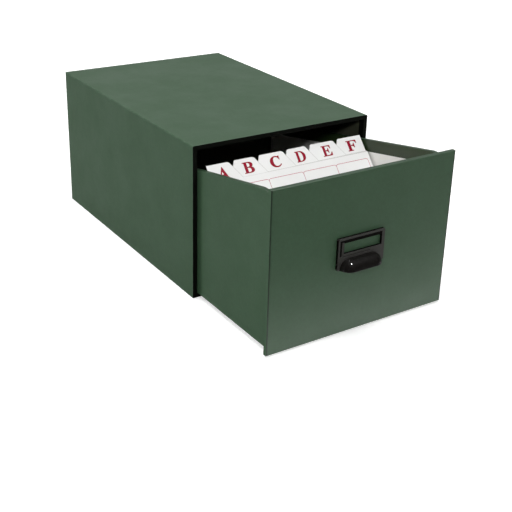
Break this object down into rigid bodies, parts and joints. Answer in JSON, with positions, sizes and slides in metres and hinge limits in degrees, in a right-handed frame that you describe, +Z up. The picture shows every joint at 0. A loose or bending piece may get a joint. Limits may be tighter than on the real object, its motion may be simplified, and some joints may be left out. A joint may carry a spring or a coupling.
{
  "type": "index card drawer",
  "caption": "Board-built card file drawer in green cloth paper with a sliding drawer, label holder pull and lettered index dividers on a sliding backrest.",
  "frame": {"origin": "centre of the case's underside", "axes": "+X to the right seen from the front, +Y to the case's back, +Z up; the drawer opens towards -Y"},
  "size_m": [0.13, 0.2774, 0.1003],
  "materials": {
    "grey_board": "matt",
    "green_cloth_paper": "satin, fine grain",
    "black_paper": "matt",
    "white_paper": "matt",
    "black_enamel": "matt black enamel",
    "black_gloss": "glossy black enamel",
    "grey_steel": "matt grey enamel",
    "index_card": "smooth card"
  },
  "bodies": {
    "case": {"case_bottom_board": "grey_board", "case_top_board": "grey_board", "case_left_board": "grey_board", "case_right_board": "grey_board", "case_back_board": "grey_board", "case_base_cover": "green_cloth_paper", "case_back_cover": "green_cloth_paper", "case_floor_lining": "black_paper", "case_back_lining": "black_paper", "case_wall_lining": "black_paper", "case_rim_binding": "black_paper", "case_wrap_cover": "green_cloth_paper"},
    "drawer": {"drawer_left_board": "grey_board", "drawer_right_board": "grey_board", "drawer_left_lining": "white_paper", "drawer_right_lining": "white_paper", "drawer_floor_board": "grey_board", "drawer_front_board": "grey_board", "drawer_back_board": "grey_board", "drawer_floor_lining": "white_paper", "drawer_front_lining": "white_paper", "drawer_back_lining": "black_paper", "drawer_base_cover": "green_cloth_paper", "drawer_wrap_cover": "green_cloth_paper", "front_panel_board": "grey_board", "front_panel_backing": "white_paper", "front_panel_cover": "green_cloth_paper", "label_holder": "black_enamel", "cup_pull": "black_gloss"},
    "backrest": {"card_backrest": "grey_steel"},
    "divider_a": {"divider_a": "index_card"},
    "divider_b": {"divider_b": "index_card"},
    "divider_c": {"divider_c": "index_card"},
    "divider_d": {"divider_d": "index_card"},
    "divider_e": {"divider_e": "index_card"},
    "divider_f": {"divider_f": "index_card"}
  },
  "joints": [
    {"name": "drawer_slide", "type": "slide", "parent": "case", "child": "drawer", "axis": [0, -1, 0], "range_m": [-0.0789, 0.071]},
    {"name": "backrest_slide", "type": "slide", "parent": "drawer", "child": "backrest", "axis": [0, 1, 0], "range_m": [0, 0.117]},
    {"name": "divider_a_tip", "type": "hinge", "parent": "drawer", "child": "divider_a", "pos_m": [0, -0.1664, 0.00595], "axis": [1, 0, 0], "range_deg": [0, 7]},
    {"name": "divider_b_tip", "type": "hinge", "parent": "drawer", "child": "divider_b", "pos_m": [0, -0.16598, 0.00595], "axis": [1, 0, 0], "range_deg": [0, 7]},
    {"name": "divider_c_tip", "type": "hinge", "parent": "drawer", "child": "divider_c", "pos_m": [0, -0.16556, 0.00595], "axis": [1, 0, 0], "range_deg": [0, 7]},
    {"name": "divider_d_tip", "type": "hinge", "parent": "drawer", "child": "divider_d", "pos_m": [0, -0.16514, 0.00595], "axis": [1, 0, 0], "range_deg": [0, 7]},
    {"name": "divider_e_tip", "type": "hinge", "parent": "drawer", "child": "divider_e", "pos_m": [0, -0.16472, 0.00595], "axis": [1, 0, 0], "range_deg": [0, 7]},
    {"name": "divider_f_tip", "type": "hinge", "parent": "drawer", "child": "divider_f", "pos_m": [0, -0.1643, 0.00595], "axis": [1, 0, 0], "range_deg": [0, 7]}
  ],
  "couplings": [
    {"joint": "divider_b_tip", "follows": "divider_a_tip", "ratio": 1},
    {"joint": "divider_c_tip", "follows": "divider_a_tip", "ratio": 1},
    {"joint": "divider_d_tip", "follows": "divider_a_tip", "ratio": 1},
    {"joint": "divider_e_tip", "follows": "divider_a_tip", "ratio": 1},
    {"joint": "divider_f_tip", "follows": "divider_a_tip", "ratio": 1}
  ]
}
